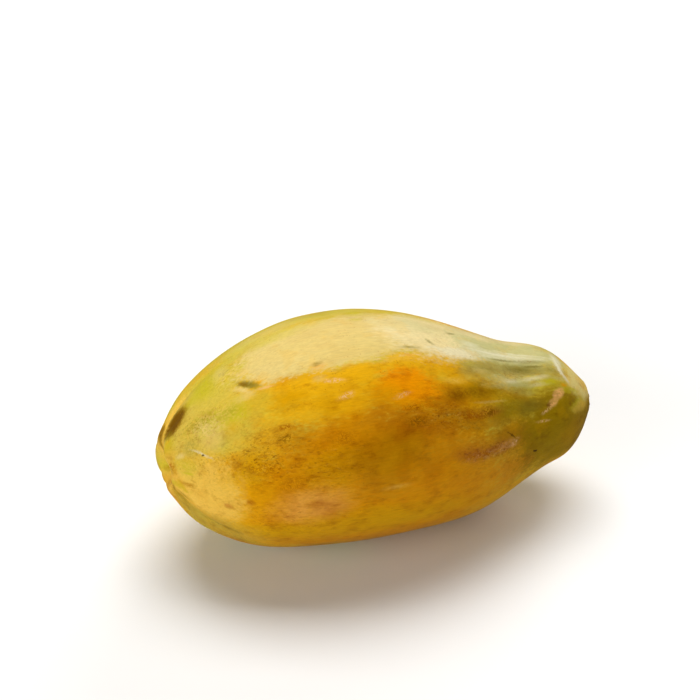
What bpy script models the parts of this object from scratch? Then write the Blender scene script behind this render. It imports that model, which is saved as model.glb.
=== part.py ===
"""A ripe papaya lying on its side: the grown fruit and the cut stub of its stem.

Units are metres. +X runs from the blossom end to the stem end and +Z is up. The
origin is on the resting surface, at the middle of the small spot where the skin is
pressed flat, under the fruit's centre of mass.
"""
import math

import bmesh
import bpy
from mathutils import Vector
from mathutils.geometry import interpolate_bezier

# Driving sizes of the fruit
LENGTH = 0.2460            # blossom tip to stem rim
HALF_WIDTH = 0.0640        # at the widest place
REST_ALONG = 0.1145        # blossom tip to the middle of the resting spot
PRESSED = 0.0009           # how far the skin is pressed flat where it rests

# The outline from blossom tip to stem rim. Each row is a share of LENGTH, then the
# half width and the lift of the ring's middle, both as shares of HALF_WIDTH.
OUTLINE = (
    (0.000, 0.016, -0.020),
    (0.003, 0.090, -0.025),
    (0.012, 0.150, -0.045),
    (0.032, 0.330, -0.080),
    (0.072, 0.545, -0.090),
    (0.136, 0.735, -0.085),
    (0.220, 0.885, -0.055),
    (0.320, 0.972, -0.010),
    (0.433, 1.000, 0.000),
    (0.540, 0.975, -0.022),
    (0.640, 0.900, -0.080),
    (0.732, 0.790, -0.130),
    (0.812, 0.640, -0.130),
    (0.880, 0.545, -0.090),
    (0.930, 0.468, -0.110),
    (0.970, 0.320, -0.120),
    (0.993, 0.195, -0.100),
    (1.000, 0.155, -0.090),
)
STEPS = 3                  # rings worked out between two rows of the outline
SIDES = 48                 # points round each ring

# Five soft furrows part the lobes. Each row is the angle round the fruit in degrees
# (0 towards -Y, 90 up), then the depth near the blossom end and on the neck.
FURROWS = (
    (73.0, 0.0042, 0.0022),
    (145.0, 0.0036, 0.0012),
    (214.0, 0.0030, 0.0014),
    (283.0, 0.0028, 0.0012),
    (346.0, 0.0030, 0.0012),
)
FURROW_SPREAD = 13.0       # degrees from the bottom of a furrow to its soft edge
BLOSSOM_PEAK = 0.055       # share of LENGTH where the furrows are deepest
NECK_PEAK = 0.110          # the same, measured from the stem rim

# The dimple at the stem end and the stub that stands in it
DIMPLE_DEPTH = 0.0040
DIMPLE_RADIUS = 0.0088
DIMPLE_LIP = 0.0004        # how far the lip turns in before the wall goes down
STUB_RADIUS = 0.0073
STUB_HEIGHT = 0.0050
STUB_WAIST = 0.93          # width at the middle of its height, as a share
STUB_SIDES = 30
STUB_CORNERS = 5           # a papaya stalk is softly five-angled
STUB_CORNER_DEPTH = 0.0004
STUB_EDGE = 0.0006         # rounding of the cut edge
GAP = 0.0003               # clearance between the stub and the fruit


def finish(name, colour, roughness):
    """A plain coloured material."""
    material = bpy.data.materials.new(name)
    material.use_nodes = True
    shader = material.node_tree.nodes["Principled BSDF"]
    shader.inputs["Base Color"].default_value = (*colour, 1.0)
    shader.inputs["Roughness"].default_value = roughness
    shader.inputs["Metallic"].default_value = 0.0
    return material


def smooth_outline(rows):
    """The outline's rows, with STEPS - 1 more set between each two on a soft curve."""
    points = [Vector(row) for row in rows]
    smooth = []
    for i in range(len(points) - 1):
        before = points[max(i - 1, 0)]
        start = points[i]
        end = points[i + 1]
        after = points[min(i + 2, len(points) - 1)]
        handle_out = start + (end - before) / 6
        handle_in = end - (after - start) / 6
        smooth += interpolate_bezier(start, handle_out, handle_in, end, STEPS + 1)[:-1]
    return smooth + [points[-1]]


def rise_and_fade(share, peak):
    """0 at the very end of the fruit, 1 at the peak and fading slowly after it."""
    return share / peak * math.exp(1 - share / peak)


def furrow_depth(share, degrees):
    """How far the skin lies below its round outline at this place."""
    depth = 0.0
    for angle, at_blossom, at_neck in FURROWS:
        away = (degrees - angle + 180) % 360 - 180
        across = math.exp(-((away / FURROW_SPREAD) ** 2))
        blossom = at_blossom * rise_and_fade(share, BLOSSOM_PEAK)
        neck = at_neck * rise_and_fade(1 - share, NECK_PEAK)
        depth += across * (blossom + neck)
    return depth


def fruit_ring(share, width, lift):
    """The points of one ring of skin, in a plane across the fruit."""
    along = share * LENGTH - REST_ALONG
    middle = HALF_WIDTH * (1 + lift) - PRESSED
    points = []
    for i in range(SIDES):
        degrees = 360 * i / SIDES
        turn = math.radians(degrees)
        radius = width * HALF_WIDTH - furrow_depth(share, degrees)
        across = Vector((0.0, -math.cos(turn), math.sin(turn)))
        points.append(Vector((along, 0.0, middle)) + across * radius)
    return points


def round_ring(along, middle, radius, corner_depth=0.0, sides=SIDES):
    """The points of a round ring, with soft corners where a depth is given."""
    points = []
    for i in range(sides):
        turn = math.tau * i / sides
        reach = radius - corner_depth * (1 - math.cos(STUB_CORNERS * turn)) / 2
        across = Vector((0.0, -math.cos(turn), math.sin(turn)))
        points.append(Vector((along, 0.0, middle)) + across * reach)
    return points


def loft(rings):
    """A closed skin through the rings, capped at both ends."""
    bm = bmesh.new()
    loops = []
    for ring in rings:
        verts = [bm.verts.new(point) for point in ring]
        edges = [bm.edges.new((verts[i - 1], verts[i])) for i in range(len(verts))]
        loops.append(edges)
    for near, far in zip(loops, loops[1:]):
        bmesh.ops.bridge_loops(bm, edges=near + far)
    bmesh.ops.holes_fill(bm, edges=loops[0] + loops[-1], sides=len(rings[0]))
    bmesh.ops.recalc_face_normals(bm, faces=bm.faces)
    return bm


def press_flat(bm):
    """Cut the skin level with the resting surface and close the cut with one face."""
    everything = bm.verts[:] + bm.edges[:] + bm.faces[:]
    bmesh.ops.bisect_plane(
        bm, geom=everything, plane_co=(0, 0, 0), plane_no=(0, 0, 1), clear_inner=True
    )
    rim = [edge for edge in bm.edges if edge.is_boundary]
    bmesh.ops.holes_fill(bm, edges=rim, sides=len(rim))
    bmesh.ops.recalc_face_normals(bm, faces=bm.faces)


def make_object(name, bm, material, sharp_degrees):
    """Turn the shape into a named object with smooth shading."""
    mesh = bpy.data.meshes.new(name)
    bm.to_mesh(mesh)
    bm.free()
    mesh.materials.append(material)
    mesh.shade_smooth()
    mesh.set_sharp_from_angle(angle=math.radians(sharp_degrees))
    made = bpy.data.objects.new(name, mesh)
    bpy.context.scene.collection.objects.link(made)
    return made


def stem_end():
    """Place of the stem rim's middle, along the fruit and up."""
    share, _, lift = OUTLINE[-1]
    return share * LENGTH - REST_ALONG, HALF_WIDTH * (1 + lift) - PRESSED


def make_fruit():
    """Skin, lobes, blossom knob, neck and the dimple for the stem, in one solid."""
    rings = [fruit_ring(*row) for row in smooth_outline(OUTLINE)]
    rim_along, middle = stem_end()
    floor_along = rim_along - DIMPLE_DEPTH
    rings.append(round_ring(rim_along - DIMPLE_LIP, middle, DIMPLE_RADIUS))
    rings.append(round_ring(floor_along, middle, DIMPLE_RADIUS - DIMPLE_LIP))
    bm = loft(rings)
    press_flat(bm)
    skin = finish("ripe_skin", (0.62, 0.38, 0.04), 0.40)
    return make_object("fruit", bm, skin, 50)


def make_stem_stub():
    """The short cut stalk that stands in the dimple, a little proud of the rim."""
    rim_along, middle = stem_end()
    foot = rim_along - DIMPLE_DEPTH + GAP
    waist = STUB_RADIUS * STUB_WAIST
    outline = (
        (0.0, STUB_RADIUS - STUB_EDGE),
        (STUB_EDGE, STUB_RADIUS),
        (STUB_HEIGHT / 2, waist),
        (STUB_HEIGHT - STUB_EDGE, STUB_RADIUS),
        (STUB_HEIGHT, STUB_RADIUS - STUB_EDGE),
    )
    rings = []
    for height, radius in outline:
        ring = round_ring(foot + height, middle, radius, STUB_CORNER_DEPTH, STUB_SIDES)
        rings.append(ring)
    stalk = finish("dry_stalk", (0.36, 0.20, 0.10), 0.75)
    return make_object("stem_stub", loft(rings), stalk, 40)


for old in list(bpy.data.objects):
    bpy.data.objects.remove(old)
make_fruit()
make_stem_stub()
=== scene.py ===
"""A ripe papaya on its side: the finished skin and stem stub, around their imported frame."""
import math

import bpy
import numpy as np
from bpy.props import FloatProperty, FloatVectorProperty, IntProperty, PointerProperty
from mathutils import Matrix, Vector
from mathutils.geometry import interpolate_bezier


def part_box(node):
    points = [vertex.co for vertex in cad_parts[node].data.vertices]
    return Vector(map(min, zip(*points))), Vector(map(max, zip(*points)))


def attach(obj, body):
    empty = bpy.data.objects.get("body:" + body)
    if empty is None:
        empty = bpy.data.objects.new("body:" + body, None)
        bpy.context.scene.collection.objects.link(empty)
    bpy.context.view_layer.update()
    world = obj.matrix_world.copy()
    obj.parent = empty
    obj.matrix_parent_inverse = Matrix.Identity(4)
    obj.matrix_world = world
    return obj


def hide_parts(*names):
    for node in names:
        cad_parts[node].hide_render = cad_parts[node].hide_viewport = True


bl_info = {
    "name": "Ripe Papaya",
    "version": (1, 0, 0),
    "blender": (4, 5, 0),
    "location": "View3D > Sidebar > Papaya",
    "description": "Models and finishes a ripe papaya, its stem stub and a plain stage",
    "category": "Object",
}

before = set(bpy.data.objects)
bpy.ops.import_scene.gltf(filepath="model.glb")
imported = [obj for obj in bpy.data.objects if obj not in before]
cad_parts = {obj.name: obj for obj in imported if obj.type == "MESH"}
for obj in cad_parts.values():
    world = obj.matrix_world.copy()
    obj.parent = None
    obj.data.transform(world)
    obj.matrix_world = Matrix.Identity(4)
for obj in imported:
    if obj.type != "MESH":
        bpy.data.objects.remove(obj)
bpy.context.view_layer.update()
FRUIT_LOW, FRUIT_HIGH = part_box("fruit")
STUB_LOW, STUB_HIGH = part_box("stem_stub")
STUB_FOOT = Vector((STUB_LOW.x, 0, (STUB_LOW.z + STUB_HIGH.z) / 2))
MM = 0.001

# The fruit's outline from blossom tip to stem rim. Each row is a share of the length,
# then the half width and the lift of the ring's middle, as shares of the half width.
OUTLINE = (
    (0.000, 0.016, -0.020),
    (0.003, 0.090, -0.025),
    (0.012, 0.150, -0.045),
    (0.032, 0.330, -0.080),
    (0.072, 0.545, -0.090),
    (0.136, 0.735, -0.085),
    (0.220, 0.885, -0.055),
    (0.320, 0.972, -0.010),
    (0.433, 1.000, 0.000),
    (0.540, 0.975, -0.022),
    (0.640, 0.900, -0.080),
    (0.732, 0.790, -0.130),
    (0.812, 0.640, -0.130),
    (0.880, 0.545, -0.090),
    (0.930, 0.468, -0.110),
    (0.970, 0.320, -0.120),
    (0.993, 0.195, -0.100),
    (1.000, 0.155, -0.090),
)
STEPS_BETWEEN_ROWS = 2
DIMPLE_ROUNDING = 0.4 * MM

# Furrows part the lobes. Each row is the angle near the blossom end and on the neck
# (degrees round the fruit, 0 towards -Y and 90 up), how far the furrow curls aside at the
# very tip, and its depths in millimetres at the blossom end and on the neck.
FURROWS = (
    (111.0, 71.0, 0.0, 2.7, 0.6),
    (157.0, 148.0, 0.0, 3.0, 0.9),
    (214.0, 216.0, 40.0, 2.8, 1.2),
    (272.0, 282.0, 0.0, 2.2, 0.9),
    (329.0, 350.0, 12.0, 1.5, 0.4),
)

FURROW_HALF_WIDTH = 32  # degrees round
FURROW_CURL_REACH = 0.035  # share of the length
FURROW_PEAKS = (0.060, 0.110)  # where they are deepest: shares from the two ends

# The blossom tip is drawn aside and inwards, and the lobes on the far side overhang it.
# All are in millimetres, but for the degrees round at the middle of the overhang.
TIP_REACH = 5.0
TIP_ASIDE = 11
TIP_INWARD = 9
OVERHANG_ROUND = 205
OVERHANG_ALONG = 3.6
OVERHANG_REACH = 2.8
OVERHANG_DEPTH = 5.6

# Fine pleats in a ring round the tip, in millimetres.
PLEATS = 11
PLEAT_RING = 4.0
PLEAT_SPREAD = 2.5
PLEAT_DEPTH = 0.7

# Dents and swellings: millimetres along from the blossom tip, degrees round, half
# length in millimetres, half width in degrees, slant in degrees, depth in millimetres.
DENTS = (
    (11, 88, 7, 9, 0, 1.2),
    (3, 262, 3.5, 50, 0, 1.2),
    (3, 22, 3, 30, 0, 1),
    (5.5, 55, 4, 24, 0, -2.1),
    (14, -54, 11, 20, 0, -0.6),
    (12, -18, 8, 4.5, -58, 0.6),
    (28, -29, 13, 4, -16, 0.8),
    (49.5, 73.5, 6, 2.6, -42, 0.6),
    (57, 67, 6, 3, -30, -0.25),
    (31, 0, 1.8, 1.8, 0, 0.4),
    (42, 5, 1.8, 1.8, 0, 0.3),
    (22, 39, 5, 1.2, -45, 0.3),
    (200, 72, 15, 6, -3, 0.7),
    (202, 60, 15, 6, 0, -0.25),
    (192, 50, 22, 5, 6, 0.4),
    (180, 44, 26, 5, 4, -0.3),
    (205, 84, 20, 7, 0, -0.25),
    (182, 84, 9, 4, 12, 0.25),
    (226.5, 80, 1.5, 26, 4, -0.35),
    (219, 42, 9, 3, 52, 0.3),
    (205, 30, 14, 9, 0, 0.3),
    (165, 97, 3, 2, -20, 0.3),
    (150, 81, 2.2, 2, 30, 0.25),
    (120, 35, 40, 12, 3, 0.4),
    (95, 150, 28, 12, 5, 0.6),
    (150, 190, 25, 14, 0, 0.5),
    (70, 230, 20, 14, 0, 0.5),
)

# Broad fields of colour: along, round, half length, half width and slant as above, then
# softness of the edge, strength, how broken it is, and the colour's name.
FIELDS = (
    (30, 165, 55, 60, 0, 0.9, 0.6, 0.2, "lime"),
    (95, 124, 100, 34, 0, 0.6, 0.9, 0.2, "lime"),
    (112, 0, 90, 62, 0, 0.4, 0.95, 0.1, "amber"),
    (120, 205, 80, 45, 0, 0.8, 0.85, 0.3, "amber"),
    (95, 158, 34, 20, 12, 0.7, 0.8, 0.3, "orange"),
    (140, 262, 90, 30, 0, 0.8, 0.5, 0.3, "lime"),
    (20, 70, 44, 52, 0, 0.6, 0.9, 0.1, "sage"),
    (34, 92, 30, 26, 0, 0.8, 0.8, 0.2, "lime"),
    (66, 100, 30, 14, 0, 0.9, 0.6, 0.3, "pale"),
    (10, 111, 12, 14, 0, 0.7, 0.85, 0.1, "straw"),
    (20, 8, 26, 36, 0, 0.45, 0.95, 0, "straw"),
    (12, 30, 12, 20, 0, 0.8, 0.5, 0.2, "lime"),
    (26, 58, 12, 12, 0, 0.9, 0.7, 0.2, "pale"),
    (84, 59, 38, 9, -3, 0.6, 0.95, 0.1, "golden"),
    (54, 61, 14, 10, 0, 0.9, 0.8, 0.2, "lime"),
    (53, 61, 12, 10, 0, 0.9, 0.4, 0.2, "gold_olive"),
    (84, 49, 48, 9, 0, 0.8, 0.85, 0.1, "golden"),
    (68, 56, 14, 9, 0, 0.8, 0.75, 0.1, "gold_olive"),
    # This pale field and the one five rows down are partly painted highlight along the top.
    (67, 75.5, 19, 9, -3, 0.5, 0.95, 0.05, "pale"),
    (56, 38, 22, 16, 0, 0.8, 0.8, 0.3, "honey"),
    (44, 26, 13, 14, 0, 0.7, 0.8, 0.2, "gold_olive"),
    (49, 4, 13, 20, 8, 0.7, 0.85, 0.2, "honey"),
    (140, 65.5, 30, 9, 0, 0.6, 0.9, 0, "golden"),
    (96, 86, 60, 21, 0, 0.3, 0.95, 0.05, "pale"),
    (68, 101, 40, 8, 0, 0.8, 0.45, 0.1, "lime"),
    (116, 104, 20, 5, 0, 0.8, 0.45, 0.1, "cream_skin_and_highlight"),
    (94, 114, 22, 5, 0, 0.8, 0.5, 0.2, "khaki"),
    (58, 125, 45, 11, 0, 0.8, 0.6, 0.2, "lime"),
    # These two creamy fields are partly painted highlight along the crown and the neck's top.
    (80, 112, 60, 8, 0, 0.8, 0.3, 0.2, "cream_skin_and_highlight"),
    (156, 91, 42, 26, 0, 0.4, 0.95, 0.05, "cream_skin_and_highlight"),
    (144, 95, 28, 11, 0, 0.8, 0.4, 0.1, "green"),
    (108, 64, 24, 7.5, 0, 0.7, 0.95, 0, "golden"),
    (84, 20, 22, 14, 0, 0.8, 0.65, 0.2, "gold_olive"),
    (86, 49, 11, 9, 0, 0.8, 0.5, 0.2, "gold_olive"),
    (124, 29, 16, 9, 0, 0.8, 0.52, 0.2, "bark"),
    (112, 10, 18, 14, 0, 0.8, 0.38, 0.2, "bark"),
    (8, 5, 5, 14, 0, 0.8, 0.65, 0.2, "gold_olive"),
    (8, 2, 5, 11, 0, 0.8, 0.45, 0.2, "leaf"),
    (71, 35, 9, 9, 0, 0.8, 0.3, 0.2, "bark"),
    (112, 22, 34, 16, 0, 0.8, 0.75, 0.2, "bark"),
    (192, 22, 30, 18, 0, 0.8, 0.9, 0.1, "bark"),
    (128, 34, 36, 12, 0, 0.8, 0.65, 0.2, "brown"),
    (131, 53, 21, 13, -2, 0.5, 1, 0, "orange"),
    (119, 50, 14, 9, 0, 0.8, 0.7, 0.1, "honey"),
    (130, 68.5, 18, 2.6, 3, 0.9, 0.3, 0, "straw"),
    (150, 44, 22, 8, 0, 0.8, 0.68, 0.2, "brown"),
    (168, 51, 26, 10, 0, 0.8, 0.9, 0.3, "bark"),
    (168, 36, 30, 10, 0, 0.8, 0.7, 0.3, "bark"),
    (176, 54, 20, 9, 0, 0.8, 0.8, 0.3, "olive"),
    (166, 62, 18, 8, 0, 0.8, 0.8, 0.3, "gold_olive"),
    (74, 0, 28, 16, 0, 0.8, 0.75, 0.2, "tan"),
    (55, -18, 24, 10, 0, 0.8, 0.7, 0.2, "gold_olive"),
    (125, -16, 70, 20, 0, 0.8, 0.6, 0.2, "gold_olive"),
    (95, -18, 95, 15, 0, 0.7, 0.2, 0.2, "leaf"),
    (26, -31, 36, 22, 0, 0.7, 0.85, 0.2, "khaki"),
    (192, -6, 22, 18, 0, 0.8, 0.85, 0.1, "amber"),
    (170, 18, 26, 10, 4, 0.8, 0.5, 0.4, "russet"),
    (168, 17, 26, 6, 3, 0.8, 0.7, 0.5, "russet"),
    (182, 17, 10, 5, 20, 0.9, 0.3, 0.7, "scar"),
    (224, 10, 42, 56, 0, 0.5, 1, 0.05, "olive"),
    (225, 190, 36, 80, 0, 0.55, 0.85, 0.3, "olive"),
    (192, 42, 24, 13, 0, 0.7, 0.9, 0.2, "olive"),
    (202, 41, 16, 8, 0, 0.8, 0.55, 0.2, "moss"),
    # Grey-green over the neck's top, and in bands on its ridges below: partly painted sheen.
    (200, 92, 42, 32, 0, 0.5, 0.95, 0.05, "green"),
    # The greyish fields of this colour along the neck furrow and the flute below it partly
    # paint their shade.
    (192, 69, 32, 10, 0, 0.7, 0.95, 0.1, "flute_grey_green_and_shade"),
    (176, 65, 20, 7.5, 0, 0.8, 0.75, 0.2, "flute_grey_green_and_shade"),
    (197, 61, 26, 6.4, 0, 0.8, 0.8, 0.1, "green"),
    (184, 104, 20, 12, 0, 0.8, 0.85, 0.1, "cream_skin_and_highlight"),
    (206, 112, 20, 12, 0, 0.8, 0.75, 0.1, "cream_skin_and_highlight"),
    # Two whitish fields over the neck's top: partly painted highlight.
    (198, 84, 40, 7, 4, 0.8, 0.5, 0.1, "whitish_bloom_and_highlight"),
    (164, 76, 24, 7, 6, 0.8, 0.6, 0.1, "whitish_bloom_and_highlight"),
    (197, 55, 17, 7, 0, 0.8, 0.7, 0.2, "flute_grey_green_and_shade"),
    (194, 57, 26, 4, 0, 0.9, 0.65, 0.2, "green"),
    (202, 50, 9, 4, 0, 0.9, 0.65, 0.2, "flute_grey_green_and_shade"),
    (191, 42, 10, 7, 0, 0.9, 0.42, 0.2, "olive"),
    (220, 68, 15, 15, 0, 0.7, 0.7, 0.1, "flute_grey_green_and_shade"),
    (225, 62, 5, 5, 0, 0.9, 0.4, 0.1, "green"),
    (232, 0, 16, 36, 0, 0.9, 0.35, 0.2, "gold_olive"),
    (240, 70, 14, 46, 0, 0.5, 0.95, 0.05, "rind"),
    (244, 75, 7, 30, 0, 0.6, 0.4, 0.1, "golden"),
    (236, 99, 9, 11, 0, 0.8, 0.7, 0.1, "golden"),
    (235, 35, 9, 15, 0, 0.8, 0.75, 0.2, "leaf"),
    (236, 31, 8, 12, 0, 0.8, 0.6, 0.2, "straw"),
    (230, 50, 7, 6, 0, 0.8, 0.65, 0.2, "leaf"),
    (241, 220, 10, 120, 0, 0.6, 0.7, 0.2, "golden"),
    (1, 90, 8, 400, 0, 0.7, 0.85, 0.1, "straw"),
    (1, 200, 6, 70, 0, 0.8, 0.7, 0.2, "lime"),
)

# Small marks, in the same columns.
MARKS = (
    (30, 62, 26, 18, 0, 0.9, 0.5, 0.95, "leaf"),
    (28, 95, 11, 21, 0, 0.8, 0.75, 0.4, "leaf"),
    (36, 103, 9, 7, 0, 0.9, 0.45, 0.6, "leaf"),
    (42, 59, 11, 10, 20, 0.9, 0.65, 0.6, "leaf"),
    (38, 62, 9, 7, 0, 0.9, 0.28, 0.9, "moss"),
    (38, 50, 7, 8, 0, 0.9, 0.5, 0.4, "gold_olive"),
    (17, 47, 6, 12, 0, 0.9, 0.38, 0.8, "moss"),
    (22, 64, 14, 8, 0, 0.9, 0.34, 0.9, "moss"),
    (8, 62, 4, 12, 0, 0.9, 0.35, 0.4, "leaf"),
    (7, 60, 5, 20, 0, 0.9, 0.5, 0.2, "leaf"),
    (7, 54, 5, 16, 0, 0.9, 0.35, 0.4, "gold_olive"),
    (1.4, 222, 1.6, 18, 0, 0.8, 0.75, 0.7, "brown"),
    (7.5, 66, 2.4, 5, 0, 0.9, 0.6, 0.4, "gold_olive"),
    (2.4, 214, 3.5, 36, 0, 0.9, 0.6, 0.4, "leaf"),
    (7.4, 30, 2.6, 9, 0, 0.8, 0.8, 0.8, "brown"),
    (6.4, 22, 2.4, 9, 0, 0.8, 0.7, 0.6, "fold_edge_stain_and_shade"),
    (18, 90, 7, 9, 0, 0.9, 0.6, 0.2, "leaf"),
    # The fold beside the blossom tip, and the one below it: brown stain and painted shade,
    # darkest in the middle.
    (11.8, 87, 9, 19, 0, 0.6, 0.9, 0.1, "fold_edge_stain_and_shade"),
    (11.2, 87, 7.2, 16, 0, 0.55, 0.95, 0, "fold_stain_and_shade"),
    (9.2, 77, 4.2, 11, 0, 0.6, 0.85, 0, "fold_stain_and_shade"),
    (5.2, 122, 3.6, 16, 0, 0.6, 0.9, 0.2, "fold_edge_stain_and_shade"),
    (5.6, 119, 2.4, 10, 0, 0.6, 0.6, 0.3, "fold_stain_and_shade"),
    (13.5, 10.5, 5.5, 4, 30, 0.8, 0.75, 0.5, "bark"),
    (14.5, 23, 3.4, 2, 0, 0.9, 0.75, 0.3, "leaf"),
    (12, 41, 3.6, 5, 0, 0.9, 0.42, 0.3, "cream_skin_and_highlight"),
    (14.5, 30, 5, 10, 0, 0.9, 0.38, 0.6, "leaf"),
    (8, 22, 1.6, 18, 0, 0.9, 0.5, 0.5, "gold_olive"),
    (6, 0, 3, 12, 0, 0.9, 0.5, 0.4, "leaf"),
    (9, -21, 5, 9, 0, 0.8, 0.65, 0.4, "olive"),
    (6.5, -12, 1.4, 12, 0, 0.8, 0.75, 0.2, "fold_edge_stain_and_shade"),
    (11.5, -9, 5, 5, 30, 0.9, 0.65, 0.5, "olive"),
    (31, -26.5, 5, 5, 0, 0.9, 0.65, 0.3, "olive"),
    (36, -27.5, 4, 3, 0, 0.9, 0.6, 0.3, "olive"),
    (21, -26, 10, 3, -8, 0.9, 0.5, 0.6, "leaf"),
    # The pit: a dark stain that also paints the shade in its dent, then a darker core, a scar
    # line and a pale halo.
    (50, 73.7, 10, 3.2, -40, 0.8, 0.85, 0.1, "moss"),
    (47.5, 75.8, 4.5, 1.8, -42, 0.8, 0.6, 0.2, "umber"),
    (58, 67.5, 7, 1.4, -10, 0.9, 0.55, 0.3, "scar"),
    (46.5, 72, 8, 2.6, -44, 0.9, 0.48, 0.1, "cream_skin_and_highlight"),
    (86, 69.5, 6.5, 4, 0, 0.9, 0.6, 0.4, "tan"),
    (86, 71, 4.5, 1.6, 10, 0.9, 0.65, 0.4, "moss"),
    (22, 40, 9.5, 1.3, -46, 0.8, 0.75, 0.6, "whitish_bloom_and_highlight"),
    (22.5, 38.8, 1.3, 1, 0, 0.7, 0.9, 0, "speck"),
    (42.5, 5, 3.4, 3, 0, 0.8, 0.75, 0.3, "brown"),
    (31.5, 0.5, 3, 3.2, 20, 0.8, 0.6, 0.2, "russet"),
    (76, 1, 7.5, 4.4, 0, 0.9, 0.8, 0.4, "russet"),
    (82, -2, 16, 8, 0, 0.9, 0.5, 0.6, "russet"),
    (154, 49, 13, 7, 0, 0.9, 0.7, 0.8, "brown"),
    (157, 49, 8, 5, 0, 0.8, 0.7, 0.3, "umber"),
    (172, 52, 14, 4, 2, 0.9, 0.6, 0.5, "umber"),
    (158, 57.5, 10, 3, 4, 0.9, 0.7, 0.6, "straw"),
    (168, 60, 10, 3.4, 0, 0.9, 0.6, 0.6, "sage"),
    (174, 40, 15, 4.8, 8, 0.9, 0.7, 0.7, "russet"),
    (177, 46, 14, 1.2, 3, 0.9, 0.45, 0.6, "pale"),
    (168, 15, 18, 5, 3, 0.8, 0.2, 1, "scar"),
    (187.5, 23.5, 5.4, 0.8, -48, 0.6, 0.9, 0, "fold_stain_and_shade"),
    (203, 2, 2.2, 1.1, -50, 0.6, 0.95, 0, "speck"),
    (118, 4.5, 12, 2.2, 4, 0.9, 0.45, 0.7, "straw"),
    (150, 81.5, 3.8, 1.4, -40, 0.8, 0.65, 0.2, "moss"),
    (166, 95, 4.8, 2.2, 30, 0.8, 0.65, 0.2, "moss"),
    (137, 75.5, 9, 1.4, 4, 0.9, 0.6, 0.4, "moss"),
    (134.5, 70.5, 4, 1.4, 0, 0.8, 0.6, 0.4, "tan"),
    (96, 112, 26, 6, 2, 0.9, 0.6, 0.5, "leaf"),
    (114, 99, 6, 3, 0, 0.9, 0.5, 0.3, "leaf"),
    (115, 108, 8, 6, 0, 0.9, 0.6, 0.3, "leaf"),
    (150, 108, 30, 6, -3, 0.9, 0.45, 0.7, "leaf"),
    # These marks along the neck furrow paint its shade over darker skin.
    (202, 71, 16, 8, 2, 0.9, 0.95, 0.25, "moss"),
    (222, 71, 12, 5, 2, 0.9, 0.4, 0.4, "moss"),
    (208, 80, 14, 3, 0, 0.9, 0.6, 0.4, "moss"),
    (210, 75, 10, 1.6, 0, 0.9, 0.9, 0.2, "moss"),
    (192, 79, 14, 1.7, 6, 0.9, 0.65, 0.4, "moss"),
    (177, 68, 12, 1.4, 8, 0.9, 0.35, 0.5, "moss"),
    # Whitish streaks on the neck's ridges: partly bloom, partly painted highlight.
    (190, 84, 26, 1.6, 2, 0.9, 0.65, 0.4, "whitish_bloom_and_highlight"),
    (205, 88, 22, 1.4, -2, 0.9, 0.55, 0.4, "whitish_bloom_and_highlight"),
    (176, 88, 9, 5, 0, 0.9, 0.5, 0.3, "whitish_bloom_and_highlight"),
    (213, 63, 8, 4, 0, 0.9, 0.35, 0.3, "whitish_bloom_and_highlight"),
    (190, 29, 6, 5, 0, 0.9, 0.5, 0.4, "gold_olive"),
    (48, 67, 7, 4, 0, 0.9, 0.3, 0.2, "cream_skin_and_highlight"),
    (85, 63, 6, 3, 0, 0.9, 0.4, 0.2, "pale"),
    (28, 30, 5, 5, 0, 0.9, 0.55, 0.2, "straw"),
    (28, 47, 8, 10, 0, 0.9, 0.2, 0.3, "scar"),
    (38, 95, 7, 12, 0, 0.9, 0.25, 0.2, "cream_skin_and_highlight"),
    (130, 74.5, 7, 3, 0, 0.9, 0.4, 0.2, "cream_skin_and_highlight"),
    (175, 66, 7, 4, 0, 0.9, 0.35, 0.3, "pale"),
    (211, 56, 10, 3, 0, 0.9, 0.35, 0.2, "whitish_bloom_and_highlight"),
    (214, 43, 7, 8, 0, 0.9, 0.42, 0.2, "olive"),
    (175, 47, 8, 6, 0, 0.9, 0.3, 0.3, "umber"),
    (48, 88, 4, 4, 0, 0.9, 0.4, 0.3, "leaf"),
    (6.5, 76, 4, 14, 0, 0.9, 0.3, 0.2, "leaf"),
    (130, 93, 16, 5, 0, 0.9, 0.4, 0.2, "pale"),
    (193, 60.5, 8, 2.8, 0, 0.9, 0.42, 0.3, "whitish_bloom_and_highlight"),
    (205, 62, 8, 2.8, 6, 0.9, 0.4, 0.3, "whitish_bloom_and_highlight"),
    (217, 57.5, 10, 6, 8, 0.9, 0.8, 0.3, "leaf"),
    (226, 55, 3, 3, 0, 0.9, 0.8, 0.2, "honey"),
    (221, 46, 9, 4.2, 60, 0.6, 0.9, 0.4, "blush"),
    (216, 38, 6, 4, 60, 0.7, 0.85, 0.5, "blush"),
    (213, 37, 2.2, 2.2, 0, 0.7, 0.75, 0, "fold_stain_and_shade"),
    # These three marks paint the white reflection along the stem rim.
    (226.5, 86, 4, 24, 0, 0.9, 0.85, 0.25, "whitish_bloom_and_highlight"),
    (226, 76, 1.4, 13, 4, 0.9, 0.9, 0.1, "whitish_bloom_and_highlight"),
    (228, 65, 2.4, 11, 14, 0.9, 0.75, 0.2, "whitish_bloom_and_highlight"),
    (100, 175, 7, 4, 30, 0.8, 0.8, 0.3, "russet"),
    (140, 150, 4, 3, 0, 0.8, 0.8, 0.2, "brown"),
    (66, 190, 3.5, 3.4, 0, 0.8, 0.85, 0.2, "russet"),
    (175, 205, 12, 2, 25, 0.7, 0.7, 0.3, "scar"),
    (120, 228, 16, 3, -8, 0.8, 0.65, 0.5, "brown"),
    (52, 140, 9, 1.8, -30, 0.7, 0.65, 0.3, "moss"),
    (150, 235, 24, 9, 0, 0.9, 0.5, 0.6, "russet"),
)

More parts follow.
